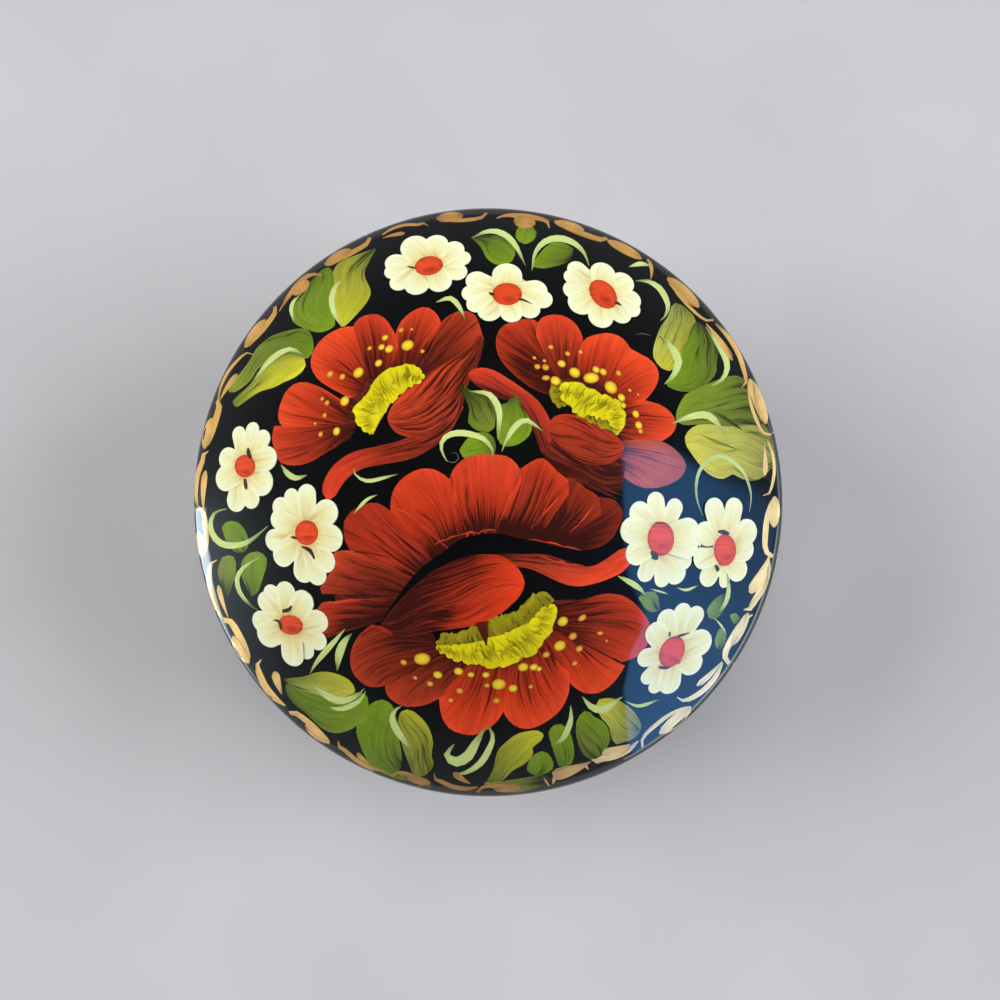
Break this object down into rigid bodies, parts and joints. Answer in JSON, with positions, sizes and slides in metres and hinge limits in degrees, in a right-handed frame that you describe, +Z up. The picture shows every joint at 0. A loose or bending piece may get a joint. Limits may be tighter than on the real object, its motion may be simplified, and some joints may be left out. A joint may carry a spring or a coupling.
{
  "type": "lacquer trinket box",
  "caption": "Round lacquered wooden box with a painted, domed lift-off lid that drops over a collar in the mouth. Holds small trinkets.",
  "frame": {"origin": "centre of the pad that the box stands on", "axes": "+Z up, along the axis on which the box is turned and the lid lifts; +X is the right of the picture and +Y its top"},
  "size_m": [0.1, 0.1, 0.0639],
  "materials": {
    "lid_lacquer": "painted wood under black gloss lacquer",
    "wall_lacquer": "black gloss lacquer",
    "collar_lacquer": "red gloss lacquer",
    "floor_wood": "bare turned wood",
    "lining_felt": "red felt",
    "pad_felt": "black felt"
  },
  "bodies": {
    "box": {"box_wall": "wall_lacquer", "lid_collar": "collar_lacquer", "box_floor": "floor_wood", "floor_lining": "lining_felt", "base_pad": "pad_felt"},
    "lid": {"lid": "lid_lacquer"}
  },
  "joints": [
    {"name": "lid_lift", "type": "slide", "parent": "box", "child": "lid", "axis": [0, 0, 1], "range_m": [0, 0.06]}
  ]
}
